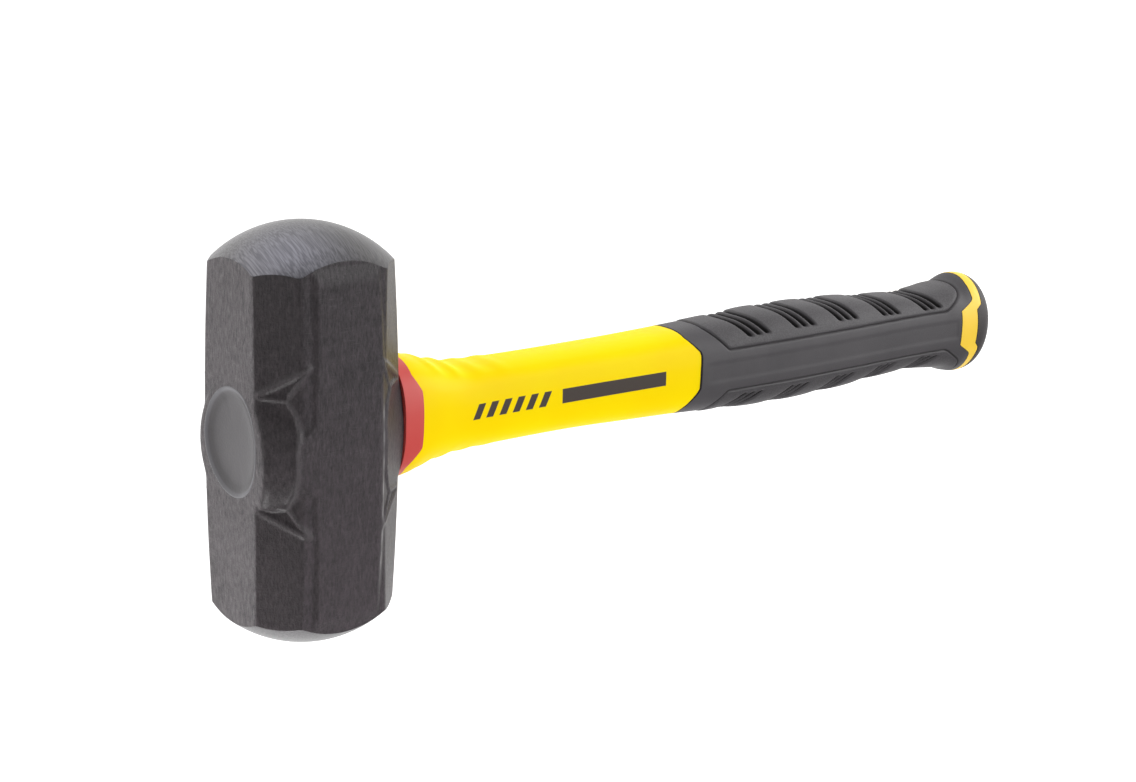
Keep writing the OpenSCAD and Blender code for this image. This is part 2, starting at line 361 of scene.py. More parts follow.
def section(half_height, half_width, square, angle):
    """Y and Z of a rounded section, where angle 0 is its top."""
    reach = (np.abs(np.cos(angle)) ** square + np.abs(np.sin(angle)) ** square) ** (-1 / square)
    return half_height * reach * np.cos(angle), half_width * reach * np.sin(angle)


def oval(half_height, half_width, angle):
    """Y and Z of an oval bar's outline: a square middle with half-round ends."""
    straight = half_height - half_width
    c, s = np.cos(angle), np.sin(angle)
    on_side = np.abs(s) * straight >= np.abs(c) * half_width
    side_reach = half_width / np.maximum(np.abs(s), 1e-9)
    end_reach = straight * np.abs(c) + np.sqrt(np.maximum(half_width ** 2 - (straight * s) ** 2, 0))
    reach = np.where(on_side, side_reach, end_reach)
    return reach * c, reach * s


def surface(table, x, angle, inset=0.0):
    """Points of a shape table's surface, or of one inside it by inset."""
    half_height, half_width, square, middle = shape_at(table, x)
    y, z = section(half_height - inset, half_width - inset, square, angle)
    return np.stack([x, y + middle, z], -1)


def pommel_surface(x, angle):
    """The grip's surface, rounded over at the end of the handle."""
    half_height, half_width, square, middle = shape_at(GRIP_SHAPE, np.minimum(x, DOME_START))
    share = np.clip((x - DOME_START) / (REACH - DOME_START), 0, 1)
    scale = np.maximum(1 - share ** DOME_FULLNESS, 0) ** (1 / DOME_FULLNESS)
    y, z = section(half_height * scale, half_width * scale, square, angle)
    return np.stack([x, y + middle, z], -1)


def displaced(points, depth):
    """Grid of points moved out along its normals by depth."""
    along = np.gradient(points, axis=0)
    around = np.roll(points, -1, 1) - np.roll(points, 1, 1)
    normal = np.cross(around, along)
    normal /= np.linalg.norm(normal, axis=-1, keepdims=True)
    from_middle = points - points.mean(1, keepdims=True)
    normal *= np.sign((normal * from_middle).sum(-1, keepdims=True))
    return points + normal * depth[..., None]


def even_angles(columns):
    """Angles that share a typical section's outline evenly."""
    fine = np.linspace(0, 2 * math.pi, 4001)
    y, z = section(14.0, 12.6, 2.7, fine)
    length = np.concatenate([[0], np.cumsum(np.hypot(np.diff(y), np.diff(z)))])
    wanted = (np.arange(columns) + 0.5) / columns * length[-1]
    return np.interp(wanted, length, fine)


def between(start, end, count):
    """Grid of X values from one edge line to another."""
    t = np.linspace(0, 1, count)[:, None]
    return start[None] * (1 - t) + end[None] * t


def edge_line(table, pairs):
    """X of each column along an edge line given as Y and X pairs."""
    heights, places = np.array(pairs).T
    x = np.full(COLUMNS, places[len(places) // 2])
    for _ in range(4):
        x = np.interp(surface(table, x, ANGLE)[:, 1], heights, places)
    return x


def tube(name, rings, material, grooves=None, first=0):
    """Closed tube from rings along the outside and back along the inside.

    grooves holds the painted groove shade of the rings from first on, and every ring beyond them is
    painted dark as shade in a seam.
    """
    shade = np.zeros((len(rings), COLUMNS))
    if grooves is not None:
        shade[:first + 2] = 1.0
        shade[first + 1:first + len(grooves)] = grooves[1:]
        shade[first + len(grooves) - 1:] = 1.0
    faces = grid_faces(len(rings), COLUMNS, closed_rows=True)
    return mesh_object(name, np.concatenate(rings), faces, [material], groove=shade.ravel())


def lip(edge, inward, depth, rounding, leaving):
    """Rings that round an edge over and take it in. inward holds unit vectors towards the axis."""
    rings = []
    for share in (0.25, 0.5, 0.75, 1.0):
        bend = share * math.pi / 2
        shift = np.zeros_like(edge)
        shift[:, 0] = leaving * rounding * math.sin(bend)
        rings.append(edge + inward * rounding * (1 - math.cos(bend)) + shift)
    rings.append(rings[-1] + inward * (depth - rounding))
    return rings


def towards_axis(ring):
    """Unit vectors from a ring's points towards its middle, square to X."""
    flat = (ring - ring.mean(0)) * (0, 1, 1)
    return -flat / np.linalg.norm(flat, axis=-1, keepdims=True)


# ---------------------------------------------------------------- handle pieces

COLUMNS = 236
SEAM_RINGS = 6
ANGLE = even_angles(COLUMNS)
ON_TOP = np.cos(ANGLE) > 0
DEGREES = np.degrees(np.arctan2(np.abs(np.sin(ANGLE)), np.abs(np.cos(ANGLE))))

# Ribs of the jacket, over the top and over the bottom: X, height and width.
TOP_RIBS = ((36.8, 0.45, 2.1), (43.9, 0.55, 2.2), (52.1, 0.35, 2.4), (60.6, 0.3, 2.4))
BOTTOM_RIBS = ((33.3, 0.3, 2.0), (40.2, 0.38, 2.2), (48.2, 0.3, 2.3), (56.2, 0.15, 2.3))
RIB_BEND = 0.0015

# Groups of three grooves in the grip: X of the first groove and pitch, over the top and over the
# bottom. Then how far they bend back, the angle that they reach down to, and their size.
TOP_GROOVES = ((151.4, 3.5), (171.2, 3.5), (190.8, 3.5), (211.7, 3.2), (231.7, 3.2))
BOTTOM_GROOVES = ((144.0, 3.3), (164.1, 3.3), (184.6, 3.3), (204.9, 3.2), (225.2, 3.2))
TOP_BEND, BOTTOM_BEND = 0.0018, 0.0032
TOP_END, BOTTOM_END = 52.5, 58.0
GROOVE_HALF_WIDTH, GROOVE_DEPTH = 0.9, 1.45


def core_ring(x):
    """Ring around the glass fibre core."""
    y, z = oval(CORE_HALF_HEIGHT + 0.02, CORE_HALF_WIDTH + 0.02, ANGLE)
    return np.stack([np.full(COLUMNS, float(x)), y, z], -1)


def wall_ring(x, inset):
    """Ring inside the grip's surface by inset."""
    return surface(GRIP_SHAPE, np.full(COLUMNS, float(x)), ANGLE, inset)


def jacket_depth(x):
    """Soft ribs over the top and the bottom, next to the collar."""
    depth = np.zeros(x.shape)
    for ribs, part in ((TOP_RIBS, ON_TOP), (BOTTOM_RIBS, ~ON_TOP)):
        for place, height, width in ribs:
            off = (x - place - RIB_BEND * DEGREES ** 2) / width
            depth += part * height * np.exp(-off ** 2) * (1 - step(26, 54, DEGREES))
    return depth


def jacket_mesh(material):
    left, right = edge_line(JACKET_SHAPE, COLLAR_EDGE), edge_line(GRIP_SHAPE, TONGUE_EDGE)
    x = between(left + 0.05, right - 0.12, 300)
    outside = displaced(surface(JACKET_SHAPE, x, ANGLE), jacket_depth(x))
    rings = lip(outside[0], towards_axis(outside[0]), 1.5, 0.3, -1)[::-1] + list(outside)
    rings += lip(outside[-1], towards_axis(outside[-1]), GRIP_WALL + 0.1, 0.35, 1)
    rings += [wall_ring(place, GRIP_WALL + 0.02) for place in np.linspace(136.4, 258.0, 30)]
    rings += [core_ring(place) for place in np.linspace(258.0, 28.2, 24)]
    return tube("handle_jacket", rings, material)


def pad_border(x, y):
    """Distance outside the outline of a grip pad, in millimetres, seen from the side."""
    lower = 6.6 - y
    front = np.maximum(PAD_FIRST - x, (153.2 - (x + y)) * 0.7071)
    corner = ((x - 245.6) * 3.6 - (y - 6.4) * 5.8) / 6.83
    back = smooth_max(x - PAD_LAST, corner, 2.5)
    return smooth_max(smooth_max(lower, front, 0.6), back, 0.9)


def grip_depth(points):
    """How far the grip stands out, and the painted shade in its grooves and along the pads'
    outlines.
    """
    x, y = points[..., 0], np.abs(points[..., 1])
    border = pad_border(x, y)
    inside = 1 - step(-0.5, 0.3, border)
    outline = np.exp(-(border / 0.36) ** 2)
    depth = 0.12 * inside - 0.45 * outline
    # Painted shade along the pads' outlines, and below it in the grooves.
    shade = 0.75 * outline
    for groups, bend, reach, part in ((TOP_GROOVES, TOP_BEND, TOP_END, ON_TOP),
                                      (BOTTOM_GROOVES, BOTTOM_BEND, BOTTOM_END, ~ON_TOP)):
        straight = x - bend * DEGREES ** 2
        for start, pitch in groups:
            for place in range(3):
                off = np.abs(straight - start - place * pitch) / GROOVE_HALF_WIDTH
                trough = np.exp(-off ** 2.8) * (1 - step(reach - 2.5, reach + 1.5, DEGREES)) * part
                depth -= GROOVE_DEPTH * trough
                shade += 1.8 * trough
            middle = start + pitch
            hollow = np.exp(-((straight - middle) / 5.0) ** 2)
            depth -= 0.4 * hollow * (1 - step(reach - 20, reach + 6, DEGREES)) * part * inside
    depth += 0.12 * inside * (1 - step(30, 60, DEGREES))
    channel = (1 - step(2.2, 3.8, y)) * step(136.2, 140.5, x) * (1 - step(249.5, 251.8, x))
    depth -= 0.24 * channel
    return depth, np.clip(shade, 0, 1.1) - inside * (1 - np.clip(2 * shade, 0, 1))


def grip_mesh(material):
    left, right = edge_line(GRIP_SHAPE, TONGUE_EDGE), edge_line(GRIP_SHAPE, BAND_LEFT_EDGE)
    plain = surface(GRIP_SHAPE, between(left + 0.26, right - 0.24, 385), ANGLE)
    depth, shade = grip_depth(plain)
    outside = displaced(plain, depth)
    start = lip(outside[0], towards_axis(outside[0]), 1.8, 0.45, -1)[::-1]
    rings = start + list(outside) + lip(outside[-1], towards_axis(outside[-1]), 1.6, 0.4, 1)
    rings += [wall_ring(place, GRIP_WALL) for place in np.linspace(257.6, 136.4, 28)]
    return tube("grip_sleeve", rings, material, shade, len(start))


def collar_mesh(material):
    edge = edge_line(JACKET_SHAPE, COLLAR_EDGE)
    start = np.full(COLUMNS, BOSS_FACE + 0.12)
    outside = surface(JACKET_SHAPE, between(start, edge - 0.05, 26), ANGLE)
    rings = lip(outside[0], towards_axis(outside[0]), 3.0, 0.08, -1)[::-1] + list(outside)
    rings += lip(outside[-1], towards_axis(outside[-1]), 1.5, 0.3, 1)
    rings.append(surface(JACKET_SHAPE, np.full(COLUMNS, 26.2), ANGLE, 1.9))
    rings += [core_ring(26.2), core_ring(BOSS_FACE + 0.05)]
    return tube("red_collar", rings, material)


def band_mesh(material):
    left, right = edge_line(GRIP_SHAPE, BAND_LEFT_EDGE), edge_line(GRIP_SHAPE, BAND_RIGHT_EDGE)
    outside = pommel_surface(between(left + 0.08, right - 0.08, 36), ANGLE)
    rings = lip(outside[0], towards_axis(outside[0]), 1.5, 0.25, -1)[::-1] + list(outside)
    rings += lip(outside[-1], towards_axis(outside[-1]), 1.2, 0.25, 1)
    rings += [core_ring(260.0), core_ring(258.4), wall_ring(258.4, 1.7)]
    return tube("yellow_band", rings, material)


def pad_mesh(material):
    start = edge_line(GRIP_SHAPE, BAND_RIGHT_EDGE) + 0.2
    rise = np.sin(np.radians(np.linspace(0, 88.5, 60)))[:, None]
    outside = pommel_surface(start * (1 - rise) + REACH * rise, ANGLE)
    rings = lip(outside[0], towards_axis(outside[0]), 1.2, 0.3, -1)[::-1] + list(outside)
    middle = outside[-1].mean(0)[1]
    points = np.concatenate(rings + [[(260.3, 0, 0), (REACH, middle, 0)]])
    # The first rings next to the seam get painted shade.
    seam = np.arange(len(points)) < SEAM_RINGS * COLUMNS
    return mesh_object("end_pad", points, capped_faces(len(rings), COLUMNS), [material],
                       groove=seam.astype(float))


CAP_DISH, CAP_REAR = 1.5, -20.2
CAP_HALF_HEIGHT, CAP_HALF_WIDTH = 15.3, 13.6
EYE_COLUMNS = 192


def face_reach(y, z):
    """Distance from the middle plane to the head's surface on the plugged side."""
    return turning_point(lambda across: head_side(-across, y, z) < 0,
                         np.full(y.shape, 15.0), np.full(y.shape, 26.0))


def ellipse(half_height, half_width, angle):
    """Y and Z of an ellipse's outline, where angle 0 is its top."""
    return half_height * np.cos(angle), half_width * np.sin(angle)


def cap_mesh(material):
    """Plug in the mouth of the eye: a dished face inside a thin rim that is flush with the boss."""
    columns = EYE_COLUMNS
    angle = np.linspace(0, 2 * math.pi, columns, endpoint=False)
    y, z = ellipse(CAP_HALF_HEIGHT - 0.02, CAP_HALF_WIDTH - 0.02, angle)
    outline = np.stack([np.zeros(columns), y, z], -1)
    middle = np.array((0, CAP_Y, CAP_Z))
    rim = -face_reach(y + CAP_Y, z + CAP_Z)
    flat = rim.mean()
    rings, shades = [], [0.0]

    def ring(share, x):
        rings.append(outline * share + middle + np.stack([x + 0 * y, 0 * y, 0 * y], -1))

    ring(1.0, CAP_REAR)
    # shades paints a highlight on the rim that fades inward, and a ring of painted shade inside it.
    for share, rise in ((1.0, -0.02), (0.992, 0.06), (0.980, 0.09), (0.966, 0.05)):
        ring(share, rim - rise)
        shades.append(1.0)
    for share in np.linspace(0.945, 0.03, 48):
        follow = (share / 0.965) ** 2
        ring(share, rim * follow + flat * (1 - follow) + CAP_DISH * (1 - (share / 0.965) ** 6))
        shades.append(step(0.89, 0.945, share) - 0.6 * math.exp(-((share - 0.82) / 0.07) ** 2))
    ends = [(CAP_REAR, CAP_Y, CAP_Z), (flat + CAP_DISH, CAP_Y, CAP_Z)]
    shades = np.concatenate([np.repeat(shades, columns), (0.0, 0.0)])
    return mesh_object("eye_plug", np.concatenate(rings + [ends]),
                       capped_faces(len(rings), columns), [material], groove=shades)


def cutter_mesh(outline, start, end, half_height, half_width, middle):
    """Bar along X with the given outline, to cut the eye with."""
    columns = EYE_COLUMNS
    angle = np.linspace(0, 2 * math.pi, columns, endpoint=False)
    y, z = outline(half_height, half_width, angle)
    rings = [np.stack([np.full(columns, float(x)), y + middle[0], z + middle[1]], -1)
             for x in (start, end)]
    faces = [tuple(q) for q in grid_faces(2, columns)]
    faces += [tuple(range(columns - 1, -1, -1)), tuple(range(columns, 2 * columns))]
    return mesh_object("cutter", np.concatenate(rings), faces, [])


def outward(made):
    """Makes all faces of a closed piece look outwards."""
    built = bmesh.new()
    built.from_mesh(made.data)
    bmesh.ops.recalc_face_normals(built, faces=built.faces)
    built.to_mesh(made.data)
    built.free()
    return made


def cut_eye(head):
    """Cuts the eye, and the wider mouth that the plug sits in, out of the head."""
    mouth = (ellipse, -30, CAP_REAR, CAP_HALF_HEIGHT, CAP_HALF_WIDTH, (CAP_Y, CAP_Z))
    for shape in ((oval, -30, 30, EYE_HALF_HEIGHT, EYE_HALF_WIDTH, (0, 0)), mouth):
        cutter = outward(cutter_mesh(*shape))
        cut = head.modifiers.new("eye", "BOOLEAN")
        cut.operation, cut.object, cut.solver = "DIFFERENCE", cutter, "EXACT"
        bpy.context.view_layer.objects.active = head
        bpy.ops.object.modifier_apply(modifier=cut.name)
        bpy.data.objects.remove(cutter)
    head.data.set_sharp_from_angle(angle=math.radians(HEAD_SHARP_DEGREES))


# ---------------------------------------------------------------- materials

class Nodes:
    """Short way to build a material's node tree."""

    def __init__(self, name):
        self.material = bpy.data.materials.new(name)
        self.material.use_nodes = True
        self.tree = self.material.node_tree
        self.shader = self.tree.nodes["Principled BSDF"]
        self.place = self.tree.nodes.new("ShaderNodeTexCoord").outputs["Object"]

    def add(self, kind, **values):
        made = self.tree.nodes.new(kind)
        for key, value in values.items():
            if hasattr(made, key):
                setattr(made, key, value)
            else:
                self.feed(made.inputs[key.replace("_", " ")], value)
        return made

    def feed(self, socket, value):
        if isinstance(value, bpy.types.NodeSocket):
            self.tree.links.new(value, socket)
        else:
            socket.default_value = value

    def mapped(self, scale):
        return self.add("ShaderNodeMapping", Vector=self.place, Scale=scale).outputs[0]

    def noise(self, scale, detail=3.0, rough=0.5, where=None):
        made = self.add("ShaderNodeTexNoise", Scale=scale, Detail=detail, Roughness=rough)
        self.feed(made.inputs["Vector"], where or self.place)
        return made.outputs[0]

    def ramp(self, value, low, high, start=0.0, end=1.0):
        made = self.add("ShaderNodeMapRange")
        self.feed(made.inputs["Value"], value)
        sockets = ("From Min", "From Max", "To Min", "To Max")
        for socket, number in zip(sockets, (low, high, start, end)):
            self.feed(made.inputs[socket], number)
        return made.outputs[0]

    def maths(self, operation, a, b=None):
        made = self.add("ShaderNodeMath", operation=operation)
        self.feed(made.inputs[0], a)
        if b is not None:
            self.feed(made.inputs[1], b)
        return made.outputs[0]

    def mix(self, share, a, b):
        made = self.add("ShaderNodeMix", data_type="RGBA")
        self.feed(made.inputs[0], share)
        for socket, colour in ((made.inputs[6], a), (made.inputs[7], b)):
            self.feed(socket, colour if isinstance(colour, bpy.types.NodeSocket) else (*colour, 1))
        return made.outputs[2]

    def dot(self, axis):
        """How far each point is along an axis."""
        made = self.add("ShaderNodeVectorMath", operation="DOT_PRODUCT")
        self.feed(made.inputs[0], self.place)
        self.feed(made.inputs[1], tuple(axis))
        return made.outputs["Value"]

    def joined(self, parts):
        made = self.add("ShaderNodeCombineXYZ")
        for socket, part in zip(made.inputs, parts):
            self.feed(socket, part)
        return made.outputs[0]

    def bump(self, height, distance, strength=1.0, normal=None):
        made = self.add("ShaderNodeBump", Height=height, Distance=distance, Strength=strength)
        if normal is not None:
            self.feed(made.inputs["Normal"], normal)
        return made.outputs[0]

    def edges(self, low, high):
        """High on convex edges and low elsewhere."""
        return self.ramp(self.add("ShaderNodeNewGeometry").outputs["Pointiness"], low, high)

    def finish(self, colour, roughness, normal=None, **plain):
        self.feed(self.shader.inputs["Base Color"],
                  colour if isinstance(colour, bpy.types.NodeSocket) else (*colour, 1))
        self.feed(self.shader.inputs["Roughness"], roughness)
        if normal is not None:
            self.feed(self.shader.inputs["Normal"], normal)
        for key, value in plain.items():
            self.feed(self.shader.inputs[key.replace("_", " ")], value)
        return self.material


def forged_material():
    """Black forged scale, shaded by facing as painted light and shade: palest on the eye flats,
    darkest on the flanks. It is paler along convex edges, with painted highlights on the beads and
    the land's edge.
    """
    n = Nodes("forged_black")
    facing = n.tree.nodes["Texture Coordinate"].outputs["Normal"]
    normal_parts = n.add("ShaderNodeSeparateXYZ", Vector=facing)
    on_flat = n.ramp(n.maths("ABSOLUTE", normal_parts.outputs[0]), 0.80, 0.95)
    on_side = n.ramp(n.maths("ABSOLUTE", normal_parts.outputs[2]), 0.90, 0.985)
    fibres = n.noise(1.0, 5, 0.68, n.mapped((1500, 380, 1500)))
    grain = n.noise(1500, 4, 0.6)
    pits = n.noise(420, 5, 0.7)
    cloud = n.noise(55, 4, 0.6)
    scratches = n.ramp(n.noise(1.0, 3, 0.6, n.mapped((260, 2400, 260))), 0.60, 0.70)
    # Painted light and shade: the scale's tone is set by which way a face looks, darkest on the
    # flanks and palest on the eye flats.
    colour = n.mix(on_side, (0.0375, 0.0300, 0.0335), (0.053, 0.0430, 0.0490))
    colour = n.mix(on_flat, colour, (0.090, 0.0785, 0.084))
    grained = n.maths("MULTIPLY", n.ramp(fibres, 0.3, 0.7, -0.42, 0.42),
                      n.ramp(on_flat, 0, 1, 1.1, 1.7))
    shade = n.maths("ADD", n.ramp(cloud, 0.3, 0.7, -0.12, 0.12), grained)
    shade = n.maths("ADD", shade, n.ramp(pits, 0.3, 0.7, -0.16, 0.16))
    # Painted light from below: flanks and sides are paler towards -Y and darker towards +Y, the eye
    # flats are left out.
    lower = n.ramp(n.dot((0, 1, 0)), -0.045, 0.045, 1.0, -1.0)
    lower = n.maths("MULTIPLY", lower, n.ramp(on_side, 0, 1, 0.16, 0.27))
    shade = n.maths("ADD", shade, n.maths("MULTIPLY", lower, n.ramp(on_flat, 0, 1, 1, 0)))
    tint = n.add("ShaderNodeHueSaturation", Color=colour)
    n.feed(tint.inputs["Value"], n.maths("ADD", shade, 1.0))
    # The groove attribute paints a highlight on the beads, a paler and stronger one along the land's
    # edge, and shade in the hollows.
    mark = n.add("ShaderNodeAttribute", attribute_name="groove").outputs["Fac"]
    colour = n.mix(n.ramp(mark, 0.15, 1.0, 0.0, 0.75), tint.outputs[0], (0.105, 0.095, 0.100))
    colour = n.mix(n.ramp(mark, 1.0, 1.9, 0.0, 0.8), colour, (0.42, 0.40, 0.41))
    colour = n.mix(n.ramp(mark, -0.2, -1.0, 0.0, 0.35), colour, (0.014, 0.012, 0.013))
    colour = n.mix(n.ramp(n.edges(0.55, 0.64), 0, 1, 0, 0.6), colour, (0.15, 0.14, 0.145))
    colour = n.mix(n.maths("MULTIPLY", scratches, n.maths("MULTIPLY", on_side, 0.35)), colour,
                   (0.10, 0.092, 0.096))
    rough = n.ramp(grain, 0.3, 0.7, 0.46, 0.64)
    normal = n.bump(pits, 0.0008, 0.5)
    normal = n.bump(fibres, 0.0012, 0.8, normal)
    normal = n.bump(grain, 0.0003, 0.7, normal)
    normal = n.bump(scratches, 0.0002, 0.4, normal)
    return n.finish(colour, rough, normal, Metallic=0.0, Specular_IOR_Level=0.22,
                    Coat_Weight=0.3, Coat_Roughness=0.3)


# Ground steel: the centre of its painted highlight, in metres, and which way the grinding lines run.
SPOT = (-0.0116, 0.0534, 0.0367)
GRINDING = (-0.05, -0.39, 0.92)


def ground_material():
    """Bare steel of the striking domes, with the lines left by grinding."""
    n = Nodes("ground_steel")
    along = Vector(GRINDING).normalized()
    across = along.cross(Vector((0, 1, 0))).normalized()
    third = along.cross(across)
    parts = [n.maths("MULTIPLY", n.dot(axis), scale)
             for axis, scale in ((along, 85.0), (across, 2400.0), (third, 2400.0))]
    lines = n.noise(1.0, 3, 0.5, n.joined(parts))
    cloud = n.noise(70, 4, 0.6)
    patch = n.noise(28, 2, 0.5)
    # Painted shade: the dome's colour darkens to about two thirds towards +X and +Z.
    painted_side_shade = n.ramp(n.dot((0.79, 0.0, 0.62)), -0.002, 0.026, 1.0, 0.66)
    # Painted highlight: the colour turns pale and bluish near SPOT, fading out by about 19 mm.
    spot = n.add("ShaderNodeVectorMath", operation="DISTANCE")
    n.feed(spot.inputs[0], n.place)
    n.feed(spot.inputs[1], SPOT)
    painted_highlight = n.ramp(spot.outputs["Value"], 0.003, 0.019, 1.0, 0.0)
    colour = n.mix(n.ramp(cloud, 0.35, 0.7), (0.141, 0.136, 0.139), (0.162, 0.156, 0.162))
    colour = n.mix(painted_highlight, colour, (0.265, 0.262, 0.296))
    scored = n.mix(1.0, colour, (0.5, 0.5, 0.5))
    scored.node.blend_type = "MULTIPLY"
    colour = n.mix(n.ramp(lines, 0.40, 0.62, 0.75, 0.0), colour, scored)
    tint = n.add("ShaderNodeHueSaturation", Color=colour)
    n.feed(tint.inputs["Value"], painted_side_shade)
    rough = n.ramp(patch, 0.35, 0.65, 0.30, 0.38)
    normal = n.bump(lines, 0.00015, 0.6)
    return n.finish(tint.outputs[0], rough, normal, Metallic=1.0)


def plug_material():
    n = Nodes("plug_grey")
    cloud = n.noise(90, 4, 0.55)
    fine = n.noise(1600, 3, 0.55)
    mark = n.add("ShaderNodeAttribute", attribute_name="groove").outputs["Fac"]
    colour = n.mix(n.ramp(cloud, 0.3, 0.7), (0.058, 0.053, 0.057), (0.072, 0.066, 0.071))
    # Painted highlight where the groove attribute is above zero, painted shade where it is below.
    colour = n.mix(n.ramp(mark, 0.0, 1.0, 0.0, 0.7), colour, (0.150, 0.148, 0.160))
    colour = n.mix(n.ramp(mark, 0.0, -1.0, 0.0, 0.7), colour, (0.030, 0.026, 0.028))
    rough = n.ramp(cloud, 0.3, 0.7, 0.28, 0.36)
    return n.finish(colour, rough, n.bump(fine, 0.00012, 0.4), Specular_IOR_Level=0.45)


def plastic_material(name, dark, light, roughness, speck=0.00003):
    n = Nodes(name)
    cloud = n.noise(45, 3, 0.5)
    fine = n.noise(1800, 3, 0.55)
    colour = n.mix(n.ramp(cloud, 0.3, 0.7), dark, light)
    rough = n.ramp(cloud, 0.3, 0.7, roughness - 0.05, roughness + 0.06)
    return n, colour, rough, n.bump(fine, speck, 0.35)


# Print on the jacket, in metres: a bar, then a row of slanted strokes of the same height.
PRINT_Y, PRINT_HALF_HEIGHT, PRINT_BLUR = 0.0008, 0.0022, 0.00008
BAR_START, BAR_END = 0.0820, 0.1213
STROKES, STROKE_START, STROKE_PITCH, STROKE_WIDTH, STROKE_SLANT = 6, 0.0500, 0.0048, 0.0026, 0.5


def print_mask(n, x, y, low, high, slant=0.0):
    """1 inside a slanted bar in the side view, for X between low and high."""
    moved = n.maths("SUBTRACT", x, n.maths("MULTIPLY", y, slant))
    inside = n.maths("MULTIPLY", n.ramp(moved, low - PRINT_BLUR, low + PRINT_BLUR),
                     n.ramp(moved, high - PRINT_BLUR, high + PRINT_BLUR, 1.0, 0.0))
    off = n.maths("ABSOLUTE", n.maths("SUBTRACT", y, PRINT_Y))
    return n.maths("MULTIPLY", inside, n.ramp(off, PRINT_HALF_HEIGHT - PRINT_BLUR,
                                              PRINT_HALF_HEIGHT + PRINT_BLUR, 1.0, 0.0))


def jacket_material():
    """Yellow plastic with a plain dark bar and a row of slanted strokes printed on each side."""
    n, colour, rough, normal = plastic_material(
        "jacket_yellow", (0.99, 0.70, 0.0), (1.0, 0.75, 0.0), 0.5)
    split = n.add("ShaderNodeSeparateXYZ", Vector=n.place)
    x, y = split.outputs[0], split.outputs[1]
    mask = print_mask(n, x, y, BAR_START, BAR_END)
    for stroke in range(STROKES):
        start = STROKE_START + STROKE_PITCH * stroke
        mask = n.maths("MAXIMUM", mask,
                       print_mask(n, x, y, start, start + STROKE_WIDTH, STROKE_SLANT))
    colour = n.mix(mask, colour, (0.075, 0.062, 0.055))
    return n.finish(colour, rough, normal, Specular_IOR_Level=0.02,
                    Coat_Weight=0.1, Coat_Roughness=0.3)


def rubber_material(name, dark, light):
    n = Nodes(name)
    cloud = n.noise(70, 4, 0.55)
    fine = n.noise(3200, 4, 0.6)
    colour = n.mix(n.ramp(cloud, 0.3, 0.7), dark, light)
    mark = n.add("ShaderNodeAttribute", attribute_name="groove").outputs["Fac"]
    on_pad = n.ramp(mark, 0.0, -1.0)
    speckle = n.ramp(n.noise(2300, 2, 0.6), 0.3, 0.7, -0.24, 0.24)
    tint = n.add("ShaderNodeHueSaturation", Color=colour)
    n.feed(tint.inputs["Value"], n.maths("ADD", n.ramp(on_pad, 0, 1, 1.0, 0.88),
                                         n.maths("MULTIPLY", on_pad, speckle)))
    # Painted shade: near black wherever the groove attribute marks a groove, an outline or a seam.
    colour = n.mix(n.ramp(mark, 0.0, 1.0), tint.outputs[0], (0.009, 0.008, 0.0085))
    rough = n.maths("ADD", n.ramp(fine, 0.3, 0.7, 0.52, 0.66), n.ramp(mark, 0.1, 0.8, 0.0, 0.34))
    return n.finish(colour, rough, n.bump(fine, 0.00009, 0.5), Specular_IOR_Level=0.42)


def core_material():
    n = Nodes("glass_fibre")
    fibres = n.noise(1.0, 4, 0.6, n.mapped((90, 3800, 3800)))
    colour = n.mix(n.ramp(fibres, 0.3, 0.7), (0.62, 0.58, 0.40), (0.78, 0.75, 0.58))
    return n.finish(colour, n.ramp(fibres, 0.3, 0.7, 0.3, 0.5), n.bump(fibres, 0.0001, 0.4))


def resin_material():
    n = Nodes("eye_resin")
    cloud = n.noise(200, 3, 0.5)
    colour = n.mix(n.ramp(cloud, 0.3, 0.7), (0.012, 0.012, 0.014), (0.024, 0.024, 0.027))
    return n.finish(colour, n.ramp(cloud, 0.3, 0.7, 0.3, 0.45), n.bump(cloud, 0.0001, 0.3))


def yellow_band_material():
    n, colour, rough, normal = plastic_material(
        "band_yellow", (0.91, 0.595, 0.044), (0.98, 0.66, 0.058), 0.42)
    return n.finish(colour, rough, normal, Specular_IOR_Level=0.3)


def red_collar_material():
    n, colour, rough, normal = plastic_material(
        "collar_red", (0.60, 0.070, 0.062), (0.68, 0.085, 0.076), 0.45)
    return n.finish(colour, rough, normal, Specular_IOR_Level=0.35)


# ---------------------------------------------------------------- the object

def build_object():
    head = outward(head_mesh([forged_material(), ground_material()]))
    cut_eye(head)
    piece(head, "head")
    piece(outward(cap_mesh(plug_material())), "eye_cap")
    piece(outward(collar_mesh(red_collar_material())), "damping_collar")
    piece(outward(jacket_mesh(jacket_material())), "overstrike_jacket")
    grip_rubber = rubber_material("grip_rubber", (0.055, 0.051, 0.056), (0.065, 0.060, 0.065))
    piece(outward(grip_mesh(grip_rubber)), "rubber_grip")
    piece(outward(band_mesh(yellow_band_material())), "pommel_band")
    pad_rubber = rubber_material("pad_rubber", (0.036, 0.0310, 0.0315), (0.045, 0.0395, 0.0400))
    piece(outward(pad_mesh(pad_rubber)), "butt_pad")
    for node, material in (("fibreglass_core", core_material()), ("eye_resin", resin_material())):
        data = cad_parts[node].data
        data.materials.clear()
        data.materials.append(material)


# ---------------------------------------------------------------- camera, floor and light

VIEW_AZIMUTH, VIEW_ELEVATION = math.radians(51.308), math.radians(14.826)
VIEW_ROLL = math.radians(1.561)
CAMERA_DISTANCE, CAMERA_RIGHT, CAMERA_UP = 0.6172, 0.0725, 0.01123
LENS, SENSOR = 71.39, 36
FLOOR_RADIUS = 6.0
LIT_X = 0.10
WORLD_STRENGTH = 0.32


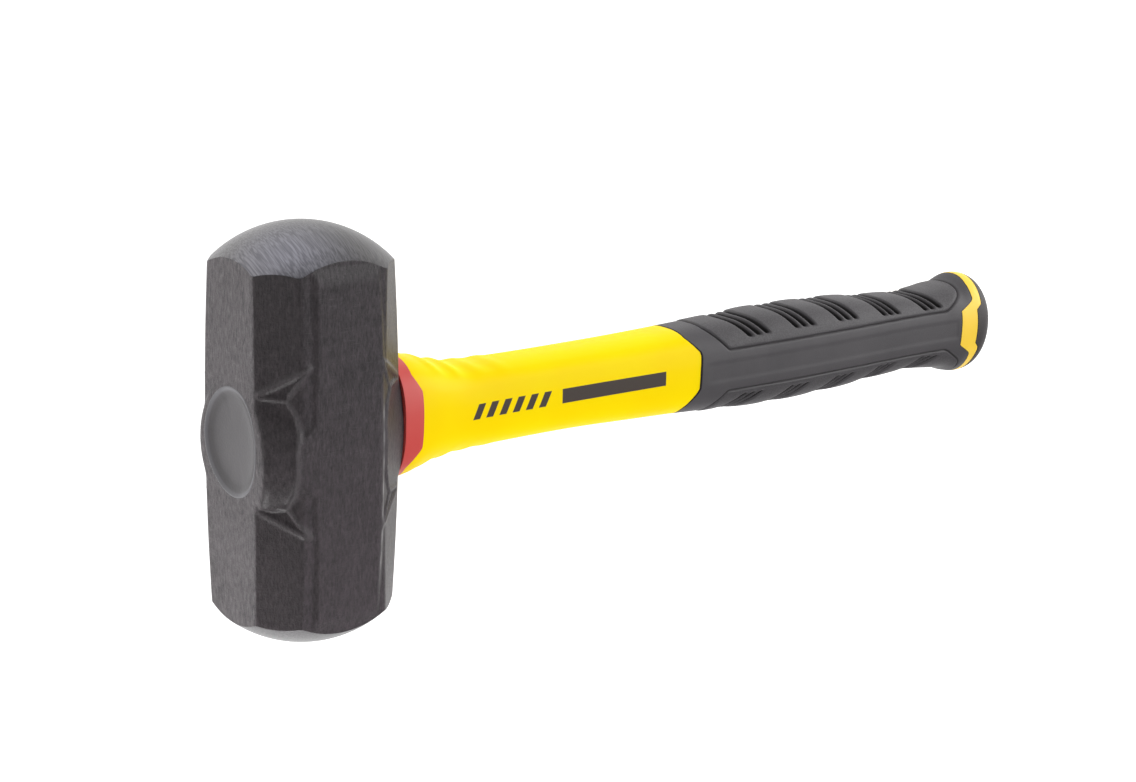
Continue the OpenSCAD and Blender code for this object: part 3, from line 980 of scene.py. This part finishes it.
def view_axes():
    """Right, up and back of the camera, where the striking axis is upright in the picture."""
    a, e = VIEW_AZIMUTH, VIEW_ELEVATION
    back = Vector((-math.cos(a) * math.cos(e), math.sin(e), math.sin(a) * math.cos(e)))
    right = Vector((math.sin(a), 0, math.cos(a)))
    up = back.cross(right)
    c, s = math.cos(VIEW_ROLL), math.sin(VIEW_ROLL)
    return right * c + up * s, up * c - right * s, back


def make_camera():
    right, up, back = view_axes()
    data = bpy.data.cameras.new("camera")
    data.sensor_width, data.lens = SENSOR, LENS
    data.clip_start, data.clip_end = 0.01, 50
    camera = bpy.data.objects.new("camera", data)
    bpy.context.scene.collection.objects.link(camera)
    place = AXIS + right * CAMERA_RIGHT + up * CAMERA_UP + back * CAMERA_DISTANCE
    axes = Matrix((right, up, back)).transposed().to_4x4()
    camera.matrix_world = Matrix.Translation(place) @ axes
    bpy.context.scene.camera = camera


def make_floor():
    mesh = bpy.data.meshes.new("floor")
    built = bmesh.new()
    bmesh.ops.create_circle(built, cap_ends=True, segments=128, radius=FLOOR_RADIUS)
    built.to_mesh(mesh)
    built.free()
    floor = bpy.data.objects.new("floor", mesh)
    bpy.context.scene.collection.objects.link(floor)
    n = Nodes("floor_white")
    grain = n.noise(30, 2, 0.5)
    colour = n.mix(n.ramp(grain, 0.3, 0.7), (0.30, 0.30, 0.30), (0.32, 0.32, 0.32))
    mesh.materials.append(n.finish(colour, 0.9, None, Emission_Color=(1, 1, 1, 1),
                                   Emission_Strength=1.2, Specular_IOR_Level=0.0))


def soft_light(name, direction, distance, size, power):
    """A round light that looks at the middle of the hammer."""
    data = bpy.data.lights.new(name, "AREA")
    data.shape, data.size, data.energy = "DISK", size, power
    light = bpy.data.objects.new(name, data)
    bpy.context.scene.collection.objects.link(light)
    towards = direction.normalized()
    middle = Vector((LIT_X, 0, AXIS.z))
    light.location = middle + towards * distance
    light.rotation_mode = "QUATERNION"
    light.rotation_quaternion = towards.to_track_quat("Z", "Y")


def make_light():
    right, up, back = view_axes()
    soft_light("light_left", Vector((-1.0, 0.15, 0.30)), 1.5, 0.9, 2)
    soft_light("light_right", right + up * 0.15 + back * 0.35, 1.5, 1.3, 11.6)
    soft_light("light_top", up + back * 0.1 + right * 0.1, 1.5, 1.2, 3.5)
    soft_light("light_low", Vector((-0.24, -0.40, 0.12)), 0.48, 0.3, 1.5)
    soft_light("light_rim", Vector((0.9, 0.40, 0.35)), 1.5, 0.8, 10.5)
    world = bpy.data.worlds.new("studio")
    world.use_nodes = True
    background = world.node_tree.nodes["Background"]
    background.inputs["Color"].default_value = (1, 1, 1, 1)
    background.inputs["Strength"].default_value = WORLD_STRENGTH
    bpy.context.scene.world = world
    bpy.context.scene.view_settings.view_transform = "Standard"


make_camera()
build_object()
make_floor()
make_light()
